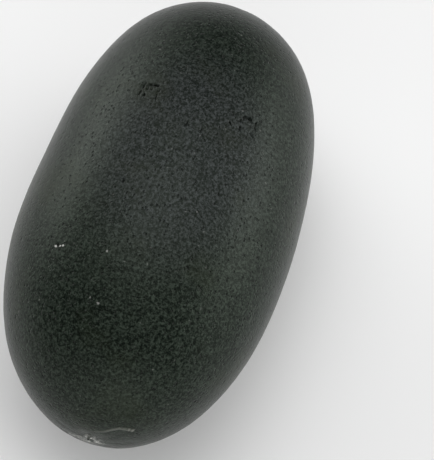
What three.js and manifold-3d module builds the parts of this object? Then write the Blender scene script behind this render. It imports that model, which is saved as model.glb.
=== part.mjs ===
// A whole, dark-skinned, oblong watermelon, lying on its side on a small flat spot of its belly.
// Millimetres, +Z up. The fruit's long axis lies along Y, with the stem end towards +Y and the blossom end
// towards -Y. The origin is at the middle of the fruit's box, on the surface that it rests on.
import * as THREE from "three";
import { mergeVertices } from "three/addons/utils/BufferGeometryUtils.js";
import Module from "manifold-3d";

// Driving dimensions of the fruit
const LENGTH = 290; // from end to end, before the end marks sink in
const WIDTH = 165; // across the middle
const SETTLE = 0.985; // height over width, because the fruit's own weight flattens it a little
const REST_DEPTH = 1.5; // how far the belly is pressed in where the fruit lies on the ground
const REST_TILT = THREE.MathUtils.degToRad(-1.3); // brings the flat spot under the fruit's weight

// How the fruit departs from a plain ellipsoid, as shares of its half width
const FULLNESS = 0.16; // both ends fill out
const BLUNT_STEM_END = 0.044; // the stem end is blunter than the blossom end
const MIDDLE_SHIFT = 0.08; // the widest stretch lies towards the blossom end

// How the fruit departs from a round, straight body
const BOW = -1.1; // sideways bow of the axis
const SWAY = 2.3; // S-bend of the axis, the two ends going opposite ways
const LOBES = 3; // the faint swell of the three carpels that the fruit grew from
const LOBE_HEIGHT = 0.5;
const FLANK_HOLLOW = { along: 13, depth: 1.8, reach: 40 }; // a broad, shallow hollow in the -X flank

// The dry marks at the two ends: a dimple, and a corky button that stands in its middle
const STEM_MARK = {
  dimpleRadius: 12,
  dimpleDepth: 4.5,
  buttonRadius: 4.8,
  buttonEdge: 2.4,
  buttonHeight: 2.1,
};
const BLOSSOM_MARK = {
  dimpleRadius: 8,
  dimpleDepth: 1.6,
  buttonRadius: 2.3,
  buttonEdge: 1.8,
  buttonHeight: 1.1,
};

// Facets
const SEGMENTS = 72; // around the axis
const RINGS = 60; // along the axis
const CROWDING = 0.8; // 0 spaces the rings evenly, and towards 1 they crowd together at the two ends

const RIND_LOOK = { color: 0x333932, roughness: 0.5, metalness: 0 };

// Half the width of the fruit at t along its axis, from -1 at the blossom end to 1 at the stem end.
function halfWidth(t) {
  const ellipse = Math.sqrt(Math.max(0, 1 - t * t));
  const lopsided = 1 + BLUNT_STEM_END * t - MIDDLE_SHIFT * t * (1 - t * t);
  return (WIDTH / 2) * ellipse * (1 + FULLNESS * t * t) * lopsided;
}

// How far the skin stands out along the axis, at a distance from the middle of an end mark.
function markRelief(mark, distance) {
  const dimple = mark.dimpleDepth * Math.exp(-((distance / mark.dimpleRadius) ** 2));
  const innerEdge = mark.buttonRadius - mark.buttonEdge / 2;
  const outerEdge = mark.buttonRadius + mark.buttonEdge / 2;
  const button = mark.buttonHeight * (1 - THREE.MathUtils.smoothstep(distance, innerEdge, outerEdge));
  return button - dimple;
}

// The outline that is turned around the axis, from the blossom end to the stem end.
function outline() {
  return Array.from({ length: RINGS + 1 }, (_, ring) => {
    const share = ring / RINGS;
    const angle = Math.PI * share - (CROWDING / 2) * Math.sin(2 * Math.PI * share);
    const atTip = ring === 0 || ring === RINGS;
    const t = -Math.cos(angle);
    const radius = atTip ? 0 : halfWidth(t);
    const relief = t > 0 ? markRelief(STEM_MARK, radius) : -markRelief(BLOSSOM_MARK, radius);
    return new THREE.Vector2(radius, (LENGTH / 2) * t + relief);
  });
}

// Moves one point of the turned body to its place on the grown fruit.
function grow(point) {
  const t = THREE.MathUtils.clamp(point.y / (LENGTH / 2), -1, 1);
  const radius = Math.hypot(point.x, point.z);
  if (radius > 0) {
    const around = Math.atan2(point.z, point.x);
    const lobe = LOBE_HEIGHT * Math.sin(LOBES * around) * (1 - t * t);
    const facesHollow = Math.max(0, -Math.cos(around)) ** 2;
    const nearHollow = Math.exp(-(((point.y - FLANK_HOLLOW.along) / FLANK_HOLLOW.reach) ** 2));
    const hollow = FLANK_HOLLOW.depth * facesHollow * nearHollow;
    const scale = (radius + lobe - hollow) / radius;
    point.x *= scale;
    point.z *= scale;
  }
  point.x += BOW * (1 - t * t) + SWAY * (t - t ** 3);
  point.z *= SETTLE;
  return point;
}

// The fruit as it grew, before its belly is pressed flat, with its middle at the origin.
function grownFruit() {
  const body = new THREE.LatheGeometry(outline(), SEGMENTS);
  const places = body.getAttribute("position");
  const point = new THREE.Vector3();
  for (let i = 0; i < places.count; i += 1) {
    grow(point.fromBufferAttribute(places, i));
    places.setXYZ(i, point.x, point.y, point.z);
  }
  return body.rotateX(REST_TILT);
}

const wasm = await Module();
wasm.setup();

function solidOf(geometry) {
  const bare = geometry.clone().deleteAttribute("normal").deleteAttribute("uv");
  const merged = mergeVertices(bare);
  const vertProperties = Float32Array.from(merged.getAttribute("position").array);
  const triVerts = Uint32Array.from(merged.index.array);
  return new wasm.Manifold(new wasm.Mesh({ numProp: 3, vertProperties, triVerts }));
}

function geometryOf(solid) {
  const { vertProperties, triVerts } = solid.getMesh();
  const geometry = new THREE.BufferGeometry();
  geometry.setAttribute("position", new THREE.BufferAttribute(vertProperties, 3));
  geometry.setIndex(new THREE.BufferAttribute(triVerts, 1));
  geometry.computeVertexNormals();
  return geometry;
}

// The fruit with its belly cut to the flat spot, standing on z = 0 with its box centred on the origin.
function restingFruit() {
  const grown = grownFruit();
  grown.computeBoundingBox();
  const { min, max } = grown.boundingBox;
  const ground = new THREE.BoxGeometry(LENGTH, 2 * LENGTH, LENGTH);
  ground.translate(0, 0, min.z + REST_DEPTH - LENGTH / 2);
  const fruit = geometryOf(solidOf(grown).subtract(solidOf(ground)));
  return fruit.translate(-(min.x + max.x) / 2, -(min.y + max.y) / 2, -(min.z + REST_DEPTH));
}

const watermelon = new THREE.Mesh(restingFruit(), new THREE.MeshStandardMaterial(RIND_LOOK));
watermelon.name = "watermelon";

const fruit = new THREE.Group();
fruit.add(watermelon);

export default fruit;
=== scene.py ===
"""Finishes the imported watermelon: a finely modelled fruit with its rind and end marks, and a plain stage."""

import math
from collections import Counter
from functools import reduce
from typing import NamedTuple

import bpy
from bpy.props import FloatProperty, FloatVectorProperty, IntProperty, PointerProperty
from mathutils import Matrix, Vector


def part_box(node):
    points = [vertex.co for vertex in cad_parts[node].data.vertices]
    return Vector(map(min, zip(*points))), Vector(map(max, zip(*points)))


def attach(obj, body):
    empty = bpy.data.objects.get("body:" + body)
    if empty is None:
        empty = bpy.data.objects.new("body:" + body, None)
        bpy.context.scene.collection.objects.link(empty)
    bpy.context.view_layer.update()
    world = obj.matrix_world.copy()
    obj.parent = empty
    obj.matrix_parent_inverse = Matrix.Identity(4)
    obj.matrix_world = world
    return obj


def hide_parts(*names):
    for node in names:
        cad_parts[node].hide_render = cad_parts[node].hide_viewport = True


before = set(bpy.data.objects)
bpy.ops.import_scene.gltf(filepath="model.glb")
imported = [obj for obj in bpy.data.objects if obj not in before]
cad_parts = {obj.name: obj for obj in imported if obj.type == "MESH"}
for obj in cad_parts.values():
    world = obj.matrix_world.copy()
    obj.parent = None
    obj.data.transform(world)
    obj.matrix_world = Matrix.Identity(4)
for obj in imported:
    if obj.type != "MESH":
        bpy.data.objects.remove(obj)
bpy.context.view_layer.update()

bl_info = {
    "name": "Watermelon",
    "version": (1, 0, 0),
    "blender": (4, 5, 0),
    "location": "View3D > Sidebar > Watermelon",
    "description": "Grows a whole dark watermelon over its solid and sets a plain stage around it",
    "category": "Add Mesh",
}

NODE = "watermelon"
BODY = "root"
PIECE = "whole_watermelon"
MILLIMETRE = 0.001

LOW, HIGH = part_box(NODE)
SIZE = HIGH - LOW
MIDDLE = (LOW + HIGH) / 2


def millimetres(*values):
    """Sizes or coordinates that are given in millimetres, in the frame's metres."""
    return tuple(value * MILLIMETRE for value in values)


def tip_of(stem_end):
    """The middle of the mark at one end of the solid, which is the corner that the most facets share."""
    compared_digits = 5
    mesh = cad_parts[NODE].data
    corners = (mesh.vertices[corner].co for facet in mesh.polygons for corner in facet.vertices)
    shared = Counter(corner.to_tuple(compared_digits) for corner in corners if (corner.y > 0) == stem_end)
    most_shared, _ = shared.most_common(1)[0]
    return Vector(most_shared)


STEM_TIP = tip_of(stem_end=True)
BLOSSOM_TIP = tip_of(stem_end=False)

# The healed scratch by the blossom end and the two beads that close it, right of and above the end's middle
SCRATCH = tuple(
    Vector(millimetres(right, above))
    for right, above in (
        (0, 9.5),
        (4.5, 12.5),
        (9.5, 14.5),
        (13, 16.5),
        (15.5, 17.5),
        (17.5, 18),
        (19.5, 17.5),
        (21, 17),
    )
)
SCRATCH_BEADS = (Vector(millimetres(22.5, 16.5)), Vector(millimetres(24.5, 15.5)))
SCRATCH_TAPER_WIDTHS = 5
SCRATCH_PALENESS = 0.6

# The furrows that run into the ends: deep at the stem, faint at the blossom, and unevenly spaced
BLOSSOM_FURROW_DEPTH = 0.25
FURROW_SHARPNESS = 3
FURROW_SWAY = 1.3

# The heights above the ground between which the belly's flat spot turns into open skin
BELLY_RANGE = millimetres(0.3, 4)


class Streak(NamedTuple):
    """One chalky streak on the blossom end: its two ends, its width and how strongly it shows."""

    start: Vector
    end: Vector
    width: float
    strength: float


def streak(start, end, width, strength):
    """A streak from places right of and above the end's middle, and a width, all in millimetres."""
    middle = Vector((BLOSSOM_TIP.x, 0, BLOSSOM_TIP.z))
    ends = (middle + Vector(millimetres(right, 0, above)) for right, above in (start, end))
    return Streak(*ends, width * MILLIMETRE, strength)


CHALK_STREAKS = (
    streak((-11.5, -5.5), (-6.5, -4.5), 4.5, 0.45),
    streak((-5.5, -5.5), (-3.5, -7.5), 6, 0.55),
    streak((-2.5, -3), (-1, 1), 2.5, 0.6),
    streak((-1.5, -6), (-0.5, -8.5), 3, 1.0),
    streak((1.5, 0), (3.5, -3.5), 3, 0.95),
    streak((3.5, -6.5), (5, -3.5), 3, 1.0),
    streak((6, -6), (8, -5), 3.5, 0.55),
    streak((-3.5, -9.5), (2, -9.5), 5, 0.3),
    streak((6, -0.5), (7.5, 0), 2, 0.3),
    streak((-0.5, 3), (3, 2), 3, 0.3),
)


class GlintSpot(NamedTuple):
    """One painted glint on the skin, a pale spot that stands in for a small highlight: its middle, its radius
    and how strongly it shows.
    """

    place: Vector
    radius: float
    strength: float


def glint_spot(place, radius, strength):
    """A painted glint from its place and its radius, in millimetres."""
    return GlintSpot(Vector(millimetres(*place)), radius * MILLIMETRE, strength)


# Painted glints: pale spots that stand in for small highlights on bumps of the skin
PAINTED_GLINTS = (
    glint_spot((-43, -59, 145.5), 1.1, 1.0),
    glint_spot((-40, -59, 147.5), 0.9, 0.8),
    glint_spot((-38.5, -58.5, 148.5), 0.9, 0.8),
    glint_spot((-12, -58, 157), 0.9, 0.35),
    glint_spot((-14, -84.5, 149.5), 0.9, 0.3),
    glint_spot((-8.5, -86.5, 149.5), 0.9, 0.35),
)


class Crack(NamedTuple):
    """One short crack in the upper skin, darkened in the colour as painted shade: its width, and its line as
    it is seen from above.
    """

    width: float
    line: tuple


def crack(width, *places):
    """A crack from its width and the places that it passes through, in millimetres."""
    return Crack(width * MILLIMETRE, tuple(Vector(millimetres(*place)) for place in places))


CRACKS = (
    crack(2.2, (-22.5, 50), (-19.5, 50.5), (-16.5, 50.5)),
    crack(1.7, (-24.5, 51.5), (-25, 50), (-25, 48)),
    crack(1.9, (-25.5, 45), (-26, 43)),
    crack(1.8, (-23, 43.5), (-22.5, 42.5)),
    crack(1.8, (-15.5, 44), (-15.5, 41.5)),
    crack(1.5, (-15, 48), (-15, 46.5)),
    crack(1.4, (-22, 48.5), (-22, 47)),
    crack(1.4, (-19.5, 48), (-19.5, 47)),
    crack(2.6, (36, 48), (38.5, 49), (40.5, 48)),
    crack(1.4, (43.5, 48.5), (44, 44.5)),
    crack(1.6, (36, 41), (36, 39)),
    crack(1.5, (29, 48), (30.5, 47.5)),
    crack(1.5, (29.5, 41), (30.5, 39.5)),
    crack(1.5, (35, 45.5), (35, 44)),
    crack(1.4, (42.5, 40.5), (42.5, 39.5)),
    crack(1.5, (7.5, 31), (7, 28.5)),
    crack(1.5, (16.5, 29.5), (16, 28)),
    crack(1.5, (-16.5, -14.5), (-16, -16)),
    crack(1.5, (-42.5, -59), (-41.5, -58.5)),
)


class Noise(NamedTuple):
    """A noise of the rind: the breadth of its features, and how fine, rough and twisted they are."""

    size: float
    detail: float = 2.0
    roughness: float = 0.5
    distortion: float = 0.0


class Rags(NamedTuple):
    """What makes an edge ragged: the breadth of its rags, and how far they reach in all."""

    size: float
    reach: float


class Scatter(NamedTuple):
    """Round spots strewn over the skin: how far apart, how large, how rare and how strong they are."""

    spacing: float
    radius: float
    rarity: float
    strength: float


# Each range below holds the value at which a share is least and the value at which it is greatest

# Grain of the rind, which is a little longer than it is wide
GRAIN_SCALE = (1, 0.88, 1)
MOTTLE = Noise(1.65 * MILLIMETRE, detail=3.0, roughness=0.65, distortion=0.3)
FINE_GRAIN = Noise(0.8 * MILLIMETRE, detail=1.0)
MOTTLE_PART = 0.7
MOTTLE_RANGE = (0.39, 0.68)

# Pits and rarer pocks, which the colour darkens as painted shade, and tiny painted glints
PITS = Scatter(spacing=2.3 * MILLIMETRE, radius=0.85 * MILLIMETRE, rarity=0.5, strength=0.85)
POCKS = Scatter(spacing=11 * MILLIMETRE, radius=1.6 * MILLIMETRE, rarity=0.8, strength=1.0)
GLINT_SPECKS = Scatter(spacing=6 * MILLIMETRE, radius=0.8 * MILLIMETRE, rarity=0.6, strength=0.12)
RARITY_BLUR = 0.15
SPOT_RAGS = Rags(size=1.5 * MILLIMETRE, reach=2.2 * MILLIMETRE)

# Broad changes of the green: olive patches, a greyer upper middle with darker, greener flanks, and a stem end
# darkened as painted shade
PATCHES = Noise(42 * MILLIMETRE)
OLIVE_RANGE = (0.5, 0.72)
OLIVE_STRENGTH = 0.3
GREY_MIDDLE = Vector(millimetres(12, 13.3, 160))
GREY_SCALE = (1, 0.75, 1)
GREY_RANGE = millimetres(28, 68)
STEM_SHADE_RANGE = (50 * MILLIMETRE, STEM_TIP.y)
STEM_SHADE_STRENGTH = 0.5

# The two ends, which begin at a distance from their tips
END_RANGE = millimetres(20, 12)
SEEN_FROM_END = (1, 0, 1)

# Blossom end: chalky skin that flakes, in streaks whose edges are given in widths of the streak
FLAKES = Noise(1.8 * MILLIMETRE, detail=3.0, roughness=0.6, distortion=0.8)
CHALK_RAGS = Rags(size=2 * MILLIMETRE, reach=4 * MILLIMETRE)
CHALK_FLAKE_RANGE = (0.4, 0.6)
CHALK_BETWEEN_FLAKES = 0.25
STREAK_EDGE = (0.7, 0.1)

# Stem end: a corky button, a groove round it painted dark as shade, and scuffed skin, whose edges are given in
# radii of the cork
CORK_FIBRES = Noise(1.2 * MILLIMETRE, detail=4.0, roughness=0.7)
CORK_FIBRE_RANGE = (0.35, 0.6)
CORK_SLOPE_END = 1.3
CORK_EDGE = (1.24, 1)
GROOVE_INNER_EDGE = (1.08, 1.24)
GROOVE_OUTER_EDGE = (1.6, 1.32)
GROOVE_SHADE_STRENGTH = 0.8
SCUFF_EDGE = (3.2, 1)
SCUFF_FLAKE_RANGE = (0.4, 0.7)
SCUFF_STRENGTH = 0.5

# The pale field spot, whose edge is measured in shares of its reach
FIELD_REACH = millimetres(50, 85, 50)
FIELD_EDGE = Noise(5 * MILLIMETRE, detail=3.0, roughness=0.6)
FIELD_EDGE_SWAY = 0.9
FIELD_RANGE = (1.0, 0.62)
FIELD_MOTTLE = 0.35

# Finish: shares of the grain's own relief, and what is added to the rind's roughness
GRAIN_ROUGHNESS = 0.16
DRY_ROUGHNESS = 0.3
HOLLOW_DEPTH = 1.2
FIBRE_HEIGHT = 2.0

NOISE_MIDDLE = 0.5
WHITE = (1, 1, 1)


class SoftLight(NamedTuple):
    """One soft light of the studio: its degrees round and above the fruit, its brightness and tightness."""

    azimuth: float
    elevation: float
    brightness: float
    tightness: float


SOFT_LIGHTS = (
    SoftLight(azimuth=-118, elevation=8, brightness=5.2, tightness=16),
    SoftLight(azimuth=-130, elevation=28, brightness=0.6, tightness=16),
    SoftLight(azimuth=105, elevation=8, brightness=3.5, tightness=16),
    SoftLight(azimuth=125, elevation=8, brightness=2.9, tightness=16),
    SoftLight(azimuth=215, elevation=70, brightness=2.9, tightness=16),
    SoftLight(azimuth=150, elevation=70, brightness=1.8, tightness=16),
    SoftLight(azimuth=122, elevation=56, brightness=1.1, tightness=14),
    SoftLight(azimuth=20, elevation=10, brightness=3.1, tightness=16),
    SoftLight(azimuth=-20, elevation=10, brightness=1.7, tightness=16),
)


class FruitProperties(bpy.types.PropertyGroup):
    """The sizes that shape the fruit's surface."""

    segments: IntProperty(name="Segments", description="Faces around the fruit", default=330, min=32)
    rings: IntProperty(name="Rings", description="Faces from end to end", default=228, min=32)
    clearance: FloatProperty(
        name="Clearance",
        description="How far the rough body stands outside the solid before it is drawn in",
        default=4 * MILLIMETRE,
        unit="LENGTH",
    )
    swell_height: FloatProperty(
        name="Swell height",
        description="Broad unevenness of the skin",
        default=0.9 * MILLIMETRE,
        unit="LENGTH",
    )
    swell_size: FloatProperty(
        name="Swell size",
        description="Breadth of the unevenness",
        default=55 * MILLIMETRE,
        unit="LENGTH",
    )
    pebble_height: FloatProperty(
        name="Pebble height",
        description="Fine unevenness of the skin",
        default=0.16 * MILLIMETRE,
        unit="LENGTH",
    )
    pebble_size: FloatProperty(
        name="Pebble size",
        description="Breadth of the fine unevenness",
        default=5 * MILLIMETRE,
        unit="LENGTH",
    )
    furrows: IntProperty(name="Furrows", description="Furrows around each end", default=9, min=0)
    furrow_depth: FloatProperty(
        name="Furrow depth",
        description="Depth of the furrows that run into the stem end",
        default=0.5 * MILLIMETRE,
        unit="LENGTH",
    )
    furrow_reach: FloatProperty(
        name="Furrow reach",
        description="How far the furrows reach from an end's middle",
        default=45 * MILLIMETRE,
        unit="LENGTH",
    )
    scratch_height: FloatProperty(
        name="Scratch height",
        description="Height of the healed scratch",
        default=0.35 * MILLIMETRE,
        unit="LENGTH",
    )
    scratch_width: FloatProperty(
        name="Scratch width",
        description="Width of the healed scratch",
        default=3.1 * MILLIMETRE,
        unit="LENGTH",
    )
    bead_width: FloatProperty(
        name="Bead width",
        description="Width of the scratch's beads",
        default=3.3 * MILLIMETRE,
        unit="LENGTH",
    )
    bead_height: FloatProperty(
        name="Bead height",
        description="Height of the scratch's beads",
        default=1.0 * MILLIMETRE,
        unit="LENGTH",
    )
    crack_depth: FloatProperty(
        name="Crack depth",
        description="Depth of the cracks in the upper skin",
        default=1.6 * MILLIMETRE,
        unit="LENGTH",
    )
    nub_width: FloatProperty(
        name="Nub width",
        description="Width of the blossom end's nub",
        default=2.4 * MILLIMETRE,
        unit="LENGTH",
    )
    nub_height: FloatProperty(
        name="Nub height",
        description="Height of the blossom end's nub",
        default=1.3 * MILLIMETRE,
        unit="LENGTH",
    )
    cork_radius: FloatProperty(
        name="Cork radius",
        description="Radius of the stem's corky button",
        default=5 * MILLIMETRE,
        unit="LENGTH",
    )
    cork_height: FloatProperty(
        name="Cork height",
        description="Height of the cork's roughness",
        default=0.8 * MILLIMETRE,
        unit="LENGTH",
    )
    cork_size: FloatProperty(
        name="Cork size",
        description="Breadth of the cork's roughness",
        default=1.6 * MILLIMETRE,
        unit="LENGTH",
    )


class RindProperties(bpy.types.PropertyGroup):
    """The colours and finish of the rind."""

    dark: FloatVectorProperty(
        name="Dark green",
        description="Colour of the rind",
        default=(0.0018, 0.0034, 0.0028),
        subtype="COLOR",
    )
    light: FloatVectorProperty(
        name="Light mottle",
        description="Colour of the mottle",
        default=(0.0475, 0.0525, 0.054),
        subtype="COLOR",
    )
    # Painted shade in the pits, pocks, cracks and the groove round the cork, where shade falls; also the own
    # dark of the blossom nub and of the cork's fibres
    deep: FloatVectorProperty(
        name="Deep green",
        description="Colour in the pits and cracks",
        default=(0.00054, 0.00102, 0.00084),
        subtype="COLOR",
    )
    olive: FloatVectorProperty(
        name="Olive",
        description="Tint of the older patches",
        default=(0.02, 0.022, 0.012),
        subtype="COLOR",
    )
    # Darker, greener tint of the flanks, away from the greyer upper middle
    flank: FloatVectorProperty(
        name="Flank",
        description="Tint of the rind away from its bloom",
        default=(0.75, 0.9, 0.67),
        subtype="COLOR",
    )
    # The chalk colour also paints the glints, pale spots that stand in for highlights
    chalk: FloatVectorProperty(
        name="Chalk",
        description="Dry skin around the blossom end",
        default=(0.6, 0.6, 0.57),
        subtype="COLOR",
    )
    scar: FloatVectorProperty(
        name="Scar",
        description="Healed scratch",
        default=(0.165, 0.17, 0.15),
        subtype="COLOR",
    )
    cork: FloatVectorProperty(
        name="Cork",
        description="Dry stem end",
        default=(0.17, 0.115, 0.06),
        subtype="COLOR",
    )
    field: FloatVectorProperty(
        name="Field spot",
        description="Belly that lay on the ground",
        default=(0.52, 0.4, 0.14),
        subtype="COLOR",
    )
    sheen: FloatVectorProperty(
        name="Sheen",
        description="Faint tint of the wax's shine",
        default=(0.87, 1.0, 0.84),
        subtype="COLOR",
    )
    roughness: FloatProperty(
        name="Roughness",
        description="Roughness of the rind",
        default=0.33,
        min=0.0,
        max=1.0,
        subtype="FACTOR",
    )
    relief: FloatProperty(
        name="Relief",
        description="Height of the grain's relief",
        default=0.3 * MILLIMETRE,
        unit="LENGTH",
    )
    ior: FloatProperty(name="IOR", description="Refraction of the waxy skin", default=1.24, min=1.0)


class StageProperties(bpy.types.PropertyGroup):
    """The camera, the floor and the light."""

    camera_azimuth: FloatProperty(
        name="Azimuth",
        description="Camera's turn to the right",
        default=math.radians(16.804),
        subtype="ANGLE",
    )
    camera_elevation: FloatProperty(
        name="Elevation",
        description="Camera's angle above the floor",
        default=math.radians(66.681),
        subtype="ANGLE",
    )
    camera_distance: FloatProperty(
        name="Distance",
        description="From the camera to the point that it aims at",
        default=1.2,
        unit="LENGTH",
    )
    camera_aim: FloatVectorProperty(
        name="Aim",
        description="Point that the camera aims at",
        default=(0.03289, 0.00459, 0.07779),
        subtype="XYZ",
    )
    camera_lens: FloatProperty(
        name="Lens",
        description="Focal length in millimetres",
        default=155.83,
        unit="CAMERA",
    )
    floor_size: FloatProperty(
        name="Floor size",
        description="Side of the floor",
        default=30.0,
        unit="LENGTH",
    )
    floor_gap: FloatProperty(
        name="Floor gap",
        description="How far the floor lies below the fruit",
        default=0.25 * MILLIMETRE,
        unit="LENGTH",
    )
    floor_colour: FloatVectorProperty(
        name="Floor colour",
        description="Plain pale floor",
        default=(0.92, 0.92, 0.92),
        subtype="COLOR",
    )
    floor_roughness: FloatProperty(
        name="Floor roughness",
        description="Roughness of the floor",
        default=0.9,
        min=0.0,
        max=1.0,
        subtype="FACTOR",
    )
    floor_shine: FloatProperty(
        name="Floor shine",
        description="Strength of the floor's shine",
        default=0.1,
        min=0.0,
        max=1.0,
        subtype="FACTOR",
    )
    light_level: FloatProperty(
        name="Light level",
        description="Brightness of the studio",
        default=0.97,
        min=0.0,
    )


def fade(value, start, end):
    """0 before start, 1 past end and a smooth rise between. It falls where end lies before start."""
    share = min(1.0, max(0.0, (value - start) / (end - start)))
    return share * share * (3 - 2 * share)


def seen_from_end(place, tip):
    """A place near one end of the fruit as it is seen along the axis, measured from that end's middle."""
    return Vector((place.x - tip.x, place.z - tip.z))


def by_blossom(place):
    """Whether a place lies in the quarter of the fruit at the blossom end."""
    return place.y <= BLOSSOM_TIP.y / 2


def distance_to_line(place, line):
    """The distance from a flat place to a line through several points."""
    nearest = math.inf
    for start, end in zip(line, line[1:]):
        along = (place - start).dot(end - start) / (end - start).length_squared
        along = min(1.0, max(0.0, along))
        nearest = min(nearest, (place - start.lerp(end, along)).length)
    return nearest


def scratch_share(place, width):
    """1 on the healed scratch, and 0 half a width or more away from it."""
    if not by_blossom(place):
        return 0.0
    flat = seen_from_end(place, BLOSSOM_TIP)
    taper = fade((flat - SCRATCH[0]).length, 0, width * SCRATCH_TAPER_WIDTHS)
    return taper * fade(distance_to_line(flat, SCRATCH), width / 2, 0)


def bead_share(place, width):
    """1 on the middle of a bead of the scratch, and 0 half a width or more away from it."""
    if not by_blossom(place):
        return 0.0
    flat = seen_from_end(place, BLOSSOM_TIP)
    return max(fade((flat - bead).length, width / 2, width / 8) for bead in SCRATCH_BEADS)


def nub_share(place, width):
    """1 on the middle of the dry nub of the blossom end, and 0 half a width or more away from it."""
    if not by_blossom(place):
        return 0.0
    return fade(seen_from_end(place, BLOSSOM_TIP).length, width / 2, width / 6)


def crack_share(place, margin=0.0):
    """1 along the middle of a crack, and 0 at half its width and a margin away from it."""
    if place.z < MIDDLE.z:
        return 0.0
    return max(fade(distance_to_line(place.xy, one.line), one.width / 2 + margin, 0) for one in CRACKS)


def cork_share(place, radius):
    """1 on the stem's corky button, with a slope around its edge."""
    if place.y < 0:
        return 0.0
    return fade(seen_from_end(place, STEM_TIP).length, CORK_SLOPE_END * radius, radius)


def furrow_share(place, furrows, reach):
    """1 in the furrows that run into the stem end, fading out at a distance, and less at the blossom end."""
    at_stem = place.y > 0
    flat = seen_from_end(place, STEM_TIP if at_stem else BLOSSOM_TIP)
    if flat.length == 0:
        return 0.0
    depth = 1.0 if at_stem else BLOSSOM_FURROW_DEPTH
    turn = math.atan2(flat.y, flat.x)
    ripple = (1 + math.cos(furrows * turn + FURROW_SWAY * math.sin(2 * turn))) / 2
    deepest_at = reach / 3
    inner = fade(flat.length, reach / 8, deepest_at)
    outer = fade(flat.length, reach, deepest_at)
    return depth * ripple**FURROW_SHARPNESS * inner * outer


def skin_share(place):
    """1 on the open skin, and 0 on the belly that lies on the ground."""
    return fade(place.z - LOW.z, *BELLY_RANGE)


def deselect_everything():
    """Leaves no object selected."""
    bpy.ops.object.select_all(action="DESELECT")


def make_active(piece):
    """Selects one object alone."""
    deselect_everything()
    piece.select_set(True)
    bpy.context.view_layer.objects.active = piece


def select_faces(piece, wanted):
    """Selects the faces, in edit mode, whose centre a test accepts."""
    bpy.ops.object.mode_set(mode="EDIT")
    bpy.ops.mesh.select_mode(type="FACE")
    bpy.ops.mesh.select_all(action="DESELECT")
    bpy.ops.object.mode_set(mode="OBJECT")
    for face in piece.data.polygons:
        face.select = wanted(face.center)
    bpy.ops.object.mode_set(mode="EDIT")


def paint(piece, name, share):
    """Paints a vertex group by a share that depends on the place."""
    group = piece.vertex_groups.new(name=name)
    for vertex in piece.data.vertices:
        weight = share(vertex.co)
        if weight > 0:
            group.add([vertex.index], weight, "REPLACE")
    return group.name


def raise_skin(piece, name, height, group, texture=None):
    """Moves the painted skin outwards, by a texture or evenly, and applies the move."""
    make_active(piece)
    displace = piece.modifiers.new(name, "DISPLACE")
    displace.strength = height
    displace.vertex_group = group
    displace.mid_level = NOISE_MIDDLE if texture else 0.0
    displace.texture = texture
    displace.texture_coords = "LOCAL"
    bpy.ops.object.modifier_apply(modifier=displace.name)


def cloud_texture(name, size, depth=1):
    """A soft noise of the given breadth."""
    texture = bpy.data.textures.new(name, "CLOUDS")
    texture.noise_scale = size
    texture.noise_depth = depth
    return texture


def smooth_guide():
    """A copy of the solid, merged and rounded, that the skin is drawn on to."""
    make_active(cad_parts[NODE])
    bpy.ops.object.duplicate()
    guide = bpy.context.object
    guide.name = "skin_guide"
    bpy.ops.object.mode_set(mode="EDIT")
    bpy.ops.mesh.select_all(action="SELECT")
    bpy.ops.mesh.remove_doubles(threshold=MILLIMETRE / 100)
    bpy.ops.mesh.tris_convert_to_quads()
    bpy.ops.object.mode_set(mode="OBJECT")
    rounding = guide.modifiers.new("rounding", "SUBSURF")
    rounding.levels = 2
    rounding.render_levels = 2
    bpy.ops.object.modifier_apply(modifier=rounding.name)
    return guide


def rough_body(sizes):
    """A ball stretched to just outside the solid, with its poles at the fruit's two ends."""
    deselect_everything()
    radius = SIZE.y / 2 + sizes.clearance
    bpy.ops.mesh.primitive_uv_sphere_add(
        segments=sizes.segments,
        ring_count=sizes.rings,
        radius=radius,
        location=MIDDLE,
        rotation=(-math.pi / 2, 0, 0),
    )
    piece = bpy.context.object
    piece.name = PIECE
    piece.data.name = PIECE
    bpy.ops.object.transform_apply(location=True, rotation=True, scale=True)
    across = (SIZE.x / 2 + sizes.clearance) / radius
    upward = (SIZE.z / 2 + sizes.clearance) / radius
    bpy.ops.object.mode_set(mode="EDIT")
    bpy.ops.mesh.select_all(action="SELECT")
    bpy.ops.transform.resize(value=(across, 1, upward), center_override=MIDDLE)
    bpy.ops.object.mode_set(mode="OBJECT")
    return piece


def refine_marks(piece, sizes):
    """Splits the faces along the narrow marks, so that these have faces of their own."""
    band = 3 * sizes.bead_width
    crack_margin = sizes.clearance / 2

    def beside_mark(place):
        at_end = max(share(place, band) for share in (scratch_share, bead_share, nub_share))
        return at_end > 0 or crack_share(place, crack_margin) > 0

    make_active(piece)
    select_faces(piece, beside_mark)
    bpy.ops.mesh.subdivide(number_cuts=2)
    bpy.ops.object.mode_set(mode="OBJECT")


def draw_skin_in(piece, guide):
    """Projects the rough body on to the guide, and removes the guide."""
    make_active(piece)
    wrap = piece.modifiers.new("wrap", "SHRINKWRAP")
    wrap.target = guide
    wrap.wrap_method = "PROJECT"
    wrap.use_negative_direction = True
    wrap.use_positive_direction = True
    bpy.ops.object.modifier_apply(modifier=wrap.name)
    bpy.data.meshes.remove(guide.data)


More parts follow.
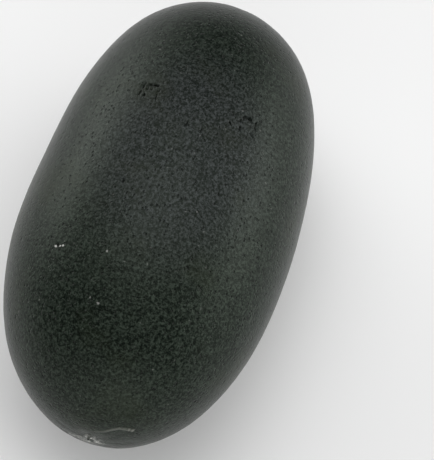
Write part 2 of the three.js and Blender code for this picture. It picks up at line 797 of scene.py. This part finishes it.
def shape_skin(piece, sizes):
    """Gives the skin its unevenness, its furrows and cracks, and the marks at its two ends."""
    open_skin = paint(piece, "open_skin", skin_share)
    furrows = paint(piece, "furrows", lambda place: furrow_share(place, sizes.furrows, sizes.furrow_reach))
    scratch = paint(piece, "scratch", lambda place: scratch_share(place, sizes.scratch_width))
    beads = paint(piece, "beads", lambda place: bead_share(place, sizes.bead_width))
    nub = paint(piece, "nub", lambda place: nub_share(place, sizes.nub_width))
    cracks = paint(piece, "cracks", crack_share)
    cork = paint(piece, "cork", lambda place: cork_share(place, sizes.cork_radius))
    raise_skin(piece, "swell", sizes.swell_height, open_skin, cloud_texture("swell", sizes.swell_size))
    raise_skin(piece, "pebbles", sizes.pebble_height, open_skin, cloud_texture("pebbles", sizes.pebble_size))
    raise_skin(piece, "furrows", -sizes.furrow_depth, furrows)
    raise_skin(piece, "scratch", sizes.scratch_height, scratch)
    raise_skin(piece, "beads", sizes.bead_height, beads)
    raise_skin(piece, "nub", sizes.nub_height, nub)
    raise_skin(piece, "cracks", -sizes.crack_depth, cracks)
    raise_skin(piece, "cork", sizes.cork_height, cork, cloud_texture("cork", sizes.cork_size, depth=2))


def keep_mark(piece, name, share):
    """Keeps a share at each vertex as an attribute that the rind's material reads."""
    attribute = piece.data.attributes.new(name, "FLOAT", "POINT")
    attribute.data.foreach_set("value", [share(vertex.co) for vertex in piece.data.vertices])


def keep_marks(piece, sizes):
    """Keeps where the narrow marks lie, for their colours."""

    def healed_scratch(place):
        line = SCRATCH_PALENESS * scratch_share(place, sizes.scratch_width)
        return max(line, bead_share(place, sizes.bead_width))

    keep_mark(piece, "healed_scratch", healed_scratch)
    keep_mark(piece, "nub", lambda place: nub_share(place, sizes.nub_width))
    keep_mark(piece, "cracks", crack_share)


class Shader:
    """A node tree that is built one node at a time."""

    # Sockets of a Mix node that is set to colours
    MIX_SHARE, MIX_FIRST, MIX_SECOND, MIX_RESULT = 0, 6, 7, 2

    def __init__(self, tree):
        self.tree = tree
        tree.nodes.clear()

    def feed(self, socket, value):
        """Links a socket to another node's output, or sets it to a constant."""
        if isinstance(value, bpy.types.NodeSocket):
            self.tree.links.new(value, socket)
        elif socket.type == "RGBA":
            socket.default_value = (*value, 1.0)
        else:
            socket.default_value = value

    def node(self, kind, inputs=None, **settings):
        """A node with its settings, and its inputs fed."""
        made = self.tree.nodes.new(kind)
        for name, value in settings.items():
            setattr(made, name, value)
        for name, value in (inputs or {}).items():
            self.feed(made.inputs[name], value)
        return made

    def math(self, operation, first, second=0.0):
        """A number worked out from one or two others."""
        return self.node("ShaderNodeMath", {0: first, 1: second}, operation=operation).outputs[0]

    def over_all(self, operation, *values):
        """One operation worked through several values in turn."""
        return reduce(lambda first, second: self.math(operation, first, second), values)

    def vector(self, operation, first, second=(0, 0, 0)):
        """A vector, or its measure, worked out from one or two others."""
        made = self.node("ShaderNodeVectorMath", {0: first, 1: second}, operation=operation)
        return made.outputs["Value" if operation in {"DISTANCE", "DOT_PRODUCT", "LENGTH"} else "Vector"]

    def fade(self, value, start, end, least=0.0, most=1.0):
        """The least at start, the most at end, and a smooth change between."""
        reading = {"Value": value, "From Min": start, "From Max": end, "To Min": least, "To Max": most}
        return self.node("ShaderNodeMapRange", reading, interpolation_type="SMOOTHSTEP").outputs["Result"]

    def blend(self, share, first, second):
        """A colour that goes from the first to the second with the share."""
        inputs = {self.MIX_SHARE: share, self.MIX_FIRST: first, self.MIX_SECOND: second}
        return self.node("ShaderNodeMix", inputs, data_type="RGBA").outputs[self.MIX_RESULT]

    def noise(self, place, noise, output="Fac"):
        """The value of a noise at a place, or its colour."""
        settings = {
            "Vector": place,
            "Scale": 1 / noise.size,
            "Detail": noise.detail,
            "Roughness": noise.roughness,
            "Distortion": noise.distortion,
        }
        return self.node("ShaderNodeTexNoise", settings).outputs[output]

    def scaled(self, place, scale):
        """A place whose three coordinates are scaled each on its own."""
        return self.node("ShaderNodeMapping", {"Vector": place, "Scale": scale}).outputs["Vector"]

    def kept_mark(self, name):
        """A share that was kept at the piece's vertices."""
        return self.node("ShaderNodeAttribute", attribute_name=name).outputs["Fac"]

    def finish_surface(self, inputs):
        """Ends the tree in a surface with these inputs."""
        surface = self.node("ShaderNodeBsdfPrincipled", inputs)
        self.node("ShaderNodeOutputMaterial", {"Surface": surface.outputs["BSDF"]})


def ragged(shader, place, rags):
    """The place moved about by a noise, so that whatever is drawn at it gets a ragged edge."""
    noise = shader.noise(place, Noise(rags.size), output="Color")
    sway = shader.vector("SUBTRACT", noise, (NOISE_MIDDLE,) * 3)
    return shader.vector("ADD", place, shader.vector("MULTIPLY", sway, (rags.reach,) * 3))


def scattered_spots(shader, place, scatter):
    """Round spots strewn over the skin, one in each cell that draws more than the rarity."""
    cells = shader.node("ShaderNodeTexVoronoi", {"Vector": place, "Scale": 1 / scatter.spacing})
    draw = shader.node("ShaderNodeSeparateColor", {"Color": cells.outputs["Color"]}).outputs["Red"]
    edge = scatter.radius / scatter.spacing
    shape = shader.fade(cells.outputs["Distance"], edge, edge / 4)
    drawn = shader.fade(draw, scatter.rarity - RARITY_BLUR, scatter.rarity + RARITY_BLUR)
    return shader.over_all("MULTIPLY", shape, drawn, scatter.strength)


def along_fruit(shader, place):
    """The coordinate from the blossom end to the stem end."""
    return shader.node("ShaderNodeSeparateXYZ", {"Vector": place}).outputs["Y"]


def end_share(shader, place, tip):
    """1 at one end of the fruit, and 0 away from it."""
    inward = math.copysign(1, -tip.y)
    start, end = (tip.y + inward * reach for reach in END_RANGE)
    return shader.fade(along_fruit(shader, place), start, end)


def rind_grain(shader, place):
    """The grain of the rind: a mottle with a finer grain in it."""
    drawn_out = shader.scaled(place, GRAIN_SCALE)
    mottle = shader.math("MULTIPLY", shader.noise(drawn_out, MOTTLE), MOTTLE_PART)
    fine = shader.math("MULTIPLY", shader.noise(drawn_out, FINE_GRAIN), 1 - MOTTLE_PART)
    return shader.math("ADD", mottle, fine)


def hollow_share(shader, place):
    """1 in the pits and in the rarer, ragged pocks."""
    pits = scattered_spots(shader, shader.scaled(place, GRAIN_SCALE), PITS)
    pocks = scattered_spots(shader, ragged(shader, place, SPOT_RAGS), POCKS)
    return shader.math("MAXIMUM", pits, pocks)


def glint_share(shader, place):
    """How strongly the painted glints show: the listed ones and tiny strewn specks, pale spots that stand in
    for highlights.
    """
    ragged_place = ragged(shader, place, SPOT_RAGS)
    shares = [scattered_spots(shader, ragged_place, GLINT_SPECKS)]
    for one in PAINTED_GLINTS:
        away = shader.vector("DISTANCE", ragged_place, one.place)
        shares.append(shader.fade(away, one.radius, one.radius / 3, most=one.strength))
    return shader.over_all("MAXIMUM", *shares)


def green_skin(shader, place, grain, looks):
    """The mottled green, olive in patches, greyer in the upper middle than on the darker, greener flanks, and
    darkened towards the stem as painted shade.
    """
    green = shader.blend(shader.fade(grain, *MOTTLE_RANGE), looks.dark, looks.light)
    olive_share = shader.fade(shader.noise(place, PATCHES), *OLIVE_RANGE, most=OLIVE_STRENGTH)
    green = shader.blend(olive_share, green, looks.olive)
    # Greyer in the upper middle, darker and greener towards the flanks
    from_grey_middle = shader.vector("MULTIPLY", shader.vector("SUBTRACT", place, GREY_MIDDLE), GREY_SCALE)
    flank_share = shader.fade(shader.vector("LENGTH", from_grey_middle), *GREY_RANGE)
    green = shader.vector("MULTIPLY", green, shader.blend(flank_share, WHITE, looks.flank))
    # Painted shade: the green darkens towards the stem end
    stem_shade = shader.fade(along_fruit(shader, place), *STEM_SHADE_RANGE, most=STEM_SHADE_STRENGTH)
    return shader.blend(stem_shade, green, looks.dark)


def streak_share(shader, place, one):
    """How strongly one chalky streak shows at a place that is seen from the end."""
    line = one.end - one.start
    offset = shader.vector("SUBTRACT", place, one.start)
    along = shader.math("DIVIDE", shader.vector("DOT_PRODUCT", offset, line), line.length_squared)
    along = shader.math("MINIMUM", shader.math("MAXIMUM", along, 0.0), 1.0)
    away = shader.vector("DISTANCE", offset, shader.vector("MULTIPLY", along, line))
    start, end = (edge * one.width for edge in STREAK_EDGE)
    return shader.fade(away, start, end, most=one.strength)


def chalk_share(shader, place, flakes):
    """How strongly the dry, flaking, chalky skin shows around the nub of the blossom end."""
    flaked_place = shader.vector("MULTIPLY", ragged(shader, place, CHALK_RAGS), SEEN_FROM_END)
    streaks = shader.over_all("MAXIMUM", *(streak_share(shader, flaked_place, one) for one in CHALK_STREAKS))
    flaking = shader.fade(flakes, *CHALK_FLAKE_RANGE, least=CHALK_BETWEEN_FLAKES)
    return shader.over_all("MULTIPLY", streaks, end_share(shader, place, BLOSSOM_TIP), flaking)


def stem_ring(shader, place, cork_radius, *edges):
    """1 on a ring around the stem's middle, inside its edges."""
    flat = shader.vector("MULTIPLY", place, SEEN_FROM_END)
    away = shader.vector("DISTANCE", flat, (STEM_TIP.x, 0, STEM_TIP.z))
    shares = [shader.fade(away, start * cork_radius, end * cork_radius) for start, end in edges]
    return shader.over_all("MULTIPLY", end_share(shader, place, STEM_TIP), *shares)


def scuff_share(shader, place, cork_radius, flakes):
    """How strongly the skin around the cork is scuffed."""
    flaking = shader.fade(flakes, *SCUFF_FLAKE_RANGE, most=SCUFF_STRENGTH)
    return shader.math("MULTIPLY", stem_ring(shader, place, cork_radius, SCUFF_EDGE), flaking)


def groove_shade_share(shader, place, cork_radius):
    """How strongly the groove round the cork shows, painted dark as shade where the cork meets the skin."""
    ring = stem_ring(shader, place, cork_radius, GROOVE_INNER_EDGE, GROOVE_OUTER_EDGE)
    return shader.math("MULTIPLY", ring, GROOVE_SHADE_STRENGTH)


def field_share(shader, place):
    """1 on the pale belly that lay on the ground, inside its ragged edge."""
    reach = shader.vector("LENGTH", shader.vector("DIVIDE", place, FIELD_REACH))
    sway = shader.math("SUBTRACT", shader.noise(place, FIELD_EDGE), NOISE_MIDDLE)
    reach = shader.math("ADD", reach, shader.math("MULTIPLY", sway, FIELD_EDGE_SWAY))
    return shader.fade(reach, *FIELD_RANGE)


def rind_roughness(shader, grain, dry, looks):
    """The roughness of the rind, which follows its grain and is greater where it is dry."""
    smoothest = looks.roughness - GRAIN_ROUGHNESS / 2
    roughness = shader.math("ADD", smoothest, shader.math("MULTIPLY", grain, GRAIN_ROUGHNESS))
    return shader.math("ADD", roughness, shader.math("MULTIPLY", dry, DRY_ROUGHNESS))


def rind_relief(shader, grain, hollows, cork_fibres, looks):
    """The fine relief of the grain, the pits and the cork."""
    height = shader.math("SUBTRACT", grain, shader.math("MULTIPLY", hollows, HOLLOW_DEPTH))
    height = shader.math("ADD", height, shader.math("MULTIPLY", cork_fibres, FIBRE_HEIGHT))
    relief = {"Height": height, "Strength": 1.0, "Distance": looks.relief}
    return shader.node("ShaderNodeBump", relief).outputs["Normal"]


def rind_material(looks, cork_radius):
    """The dark, finely mottled rind, with a chalky blossom end, a corky stem end and a pale field spot."""
    material = bpy.data.materials.new("melon_rind")
    material.use_nodes = True
    shader = Shader(material.node_tree)
    place = shader.node("ShaderNodeTexCoord").outputs["Object"]
    grain = rind_grain(shader, place)
    hollows = hollow_share(shader, place)
    flakes = shader.noise(place, FLAKES)
    fibres = shader.noise(place, CORK_FIBRES)
    chalk = chalk_share(shader, place, flakes)
    scratch = shader.kept_mark("healed_scratch")
    cork = stem_ring(shader, place, cork_radius, CORK_EDGE)

    # Upper skin
    skin = green_skin(shader, place, grain, looks)
    # Painted shade: the pits, pocks and cracks are darkened to the deep colour
    skin = shader.blend(shader.math("MAXIMUM", hollows, shader.kept_mark("cracks")), skin, looks.deep)
    # Painted highlights: the glints, in the chalk colour
    skin = shader.blend(glint_share(shader, place), skin, looks.chalk)

    # Blossom end
    skin = shader.blend(chalk, skin, looks.chalk)
    skin = shader.blend(shader.kept_mark("nub"), skin, looks.deep)
    skin = shader.blend(scratch, skin, looks.scar)

    # Stem end
    cork_colour = shader.blend(shader.fade(fibres, *CORK_FIBRE_RANGE), looks.deep, looks.cork)
    skin = shader.blend(scuff_share(shader, place, cork_radius, flakes), skin, looks.cork)
    # Painted shade: a dark groove round the cork
    skin = shader.blend(groove_shade_share(shader, place, cork_radius), skin, looks.deep)
    skin = shader.blend(cork, skin, cork_colour)

    # Belly
    field_mottle = shader.fade(grain, *MOTTLE_RANGE, most=FIELD_MOTTLE)
    field_colour = shader.blend(field_mottle, looks.field, looks.chalk)
    skin = shader.blend(field_share(shader, place), skin, field_colour)

    dry = shader.over_all("MAXIMUM", chalk, cork, scratch)
    cork_fibres = shader.math("MULTIPLY", fibres, cork)
    shader.finish_surface(
        {
            "Base Color": skin,
            "Roughness": rind_roughness(shader, grain, dry, looks),
            "IOR": looks.ior,
            "Specular Tint": looks.sheen,
            "Normal": rind_relief(shader, grain, hollows, cork_fibres, looks),
        }
    )
    return material


def floor_material(stage):
    """A plain pale floor."""
    material = bpy.data.materials.new("plain_floor")
    material.use_nodes = True
    Shader(material.node_tree).finish_surface(
        {
            "Base Color": stage.floor_colour,
            "Roughness": stage.floor_roughness,
            "Specular IOR Level": stage.floor_shine,
        }
    )
    return material


def direction(azimuth, elevation):
    """The direction from the fruit to something that stands round it. Azimuth 0 is towards -Y."""
    level = math.cos(elevation)
    return Vector((math.sin(azimuth) * level, -math.cos(azimuth) * level, math.sin(elevation)))


def studio_light(stage):
    """Large soft lights all round the fruit, as a world that is brighter towards each of them."""
    world = bpy.data.worlds.new("studio")
    bpy.context.scene.world = world
    world.use_nodes = True
    shader = Shader(world.node_tree)
    towards = shader.node("ShaderNodeTexCoord").outputs["Generated"]
    glows = []
    for light in SOFT_LIGHTS:
        middle = direction(math.radians(light.azimuth), math.radians(light.elevation))
        off_middle = shader.math("SUBTRACT", shader.vector("DOT_PRODUCT", towards, middle), 1.0)
        glow = shader.math("EXPONENT", shader.math("MULTIPLY", off_middle, light.tightness))
        glows.append(shader.math("MULTIPLY", glow, light.brightness))
    strength = shader.math("MULTIPLY", shader.over_all("ADD", *glows), stage.light_level)
    background = shader.node("ShaderNodeBackground", {"Color": WHITE, "Strength": strength})
    shader.node("ShaderNodeOutputWorld", {"Surface": background.outputs["Background"]})


class WATERMELON_OT_grow_fruit(bpy.types.Operator):
    """Models the whole watermelon over its solid, and gives it its rind"""

    bl_idname = "watermelon.grow_fruit"
    bl_label = "Grow the fruit"

    def execute(self, context):
        sizes = context.scene.watermelon_fruit
        guide = smooth_guide()
        piece = rough_body(sizes)
        refine_marks(piece, sizes)
        draw_skin_in(piece, guide)
        keep_marks(piece, sizes)
        shape_skin(piece, sizes)
        piece.vertex_groups.clear()
        make_active(piece)
        bpy.ops.object.shade_smooth()
        piece.data.materials.append(rind_material(context.scene.watermelon_rind, sizes.cork_radius))
        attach(piece, BODY)
        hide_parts(NODE)
        return {"FINISHED"}


class WATERMELON_OT_set_stage(bpy.types.Operator):
    """Lays the floor, lights the studio and sets up the camera"""

    bl_idname = "watermelon.set_stage"
    bl_label = "Set the stage"

    def execute(self, context):
        stage = context.scene.watermelon_stage
        deselect_everything()
        bpy.ops.mesh.primitive_plane_add(size=stage.floor_size, location=(0, 0, LOW.z - stage.floor_gap))
        floor = context.object
        floor.name = "floor"
        floor.data.materials.append(floor_material(stage))
        studio_light(stage)
        back = direction(stage.camera_azimuth, stage.camera_elevation)
        bpy.ops.object.camera_add(location=Vector(stage.camera_aim) + back * stage.camera_distance)
        camera = context.object
        camera.rotation_euler = (-back).to_track_quat("-Z", "Y").to_euler()
        camera.data.lens = stage.camera_lens
        context.scene.camera = camera
        context.scene.view_settings.view_transform = "Standard"
        return {"FINISHED"}


class WATERMELON_PT_maker(bpy.types.Panel):
    """Shows the buttons that set the stage and grow the fruit, and the values that shape them"""

    bl_label = "Watermelon"
    bl_idname = "WATERMELON_PT_maker"
    bl_space_type = "VIEW_3D"
    bl_region_type = "UI"
    bl_category = "Watermelon"

    def draw(self, context):
        scene = context.scene
        for operator, groups in (
            (WATERMELON_OT_set_stage, (scene.watermelon_stage,)),
            (WATERMELON_OT_grow_fruit, (scene.watermelon_fruit, scene.watermelon_rind)),
        ):
            self.layout.operator(operator.bl_idname)
            for group in groups:
                for name in group.__annotations__:
                    self.layout.prop(group, name)


CLASSES = (
    FruitProperties,
    RindProperties,
    StageProperties,
    WATERMELON_OT_set_stage,
    WATERMELON_OT_grow_fruit,
    WATERMELON_PT_maker,
)


def register():
    """Makes the classes known to Blender, and gives the scene their values."""
    for cls in CLASSES:
        bpy.utils.register_class(cls)
    bpy.types.Scene.watermelon_fruit = PointerProperty(type=FruitProperties)
    bpy.types.Scene.watermelon_rind = PointerProperty(type=RindProperties)
    bpy.types.Scene.watermelon_stage = PointerProperty(type=StageProperties)


def unregister():
    """Takes the values and the classes away again."""
    del bpy.types.Scene.watermelon_stage
    del bpy.types.Scene.watermelon_rind
    del bpy.types.Scene.watermelon_fruit
    for cls in reversed(CLASSES):
        bpy.utils.unregister_class(cls)


def main():
    """Sets the stage and grows the fruit."""
    register()
    bpy.ops.watermelon.set_stage()
    bpy.ops.watermelon.grow_fruit()


if __name__ == "__main__":
    main()
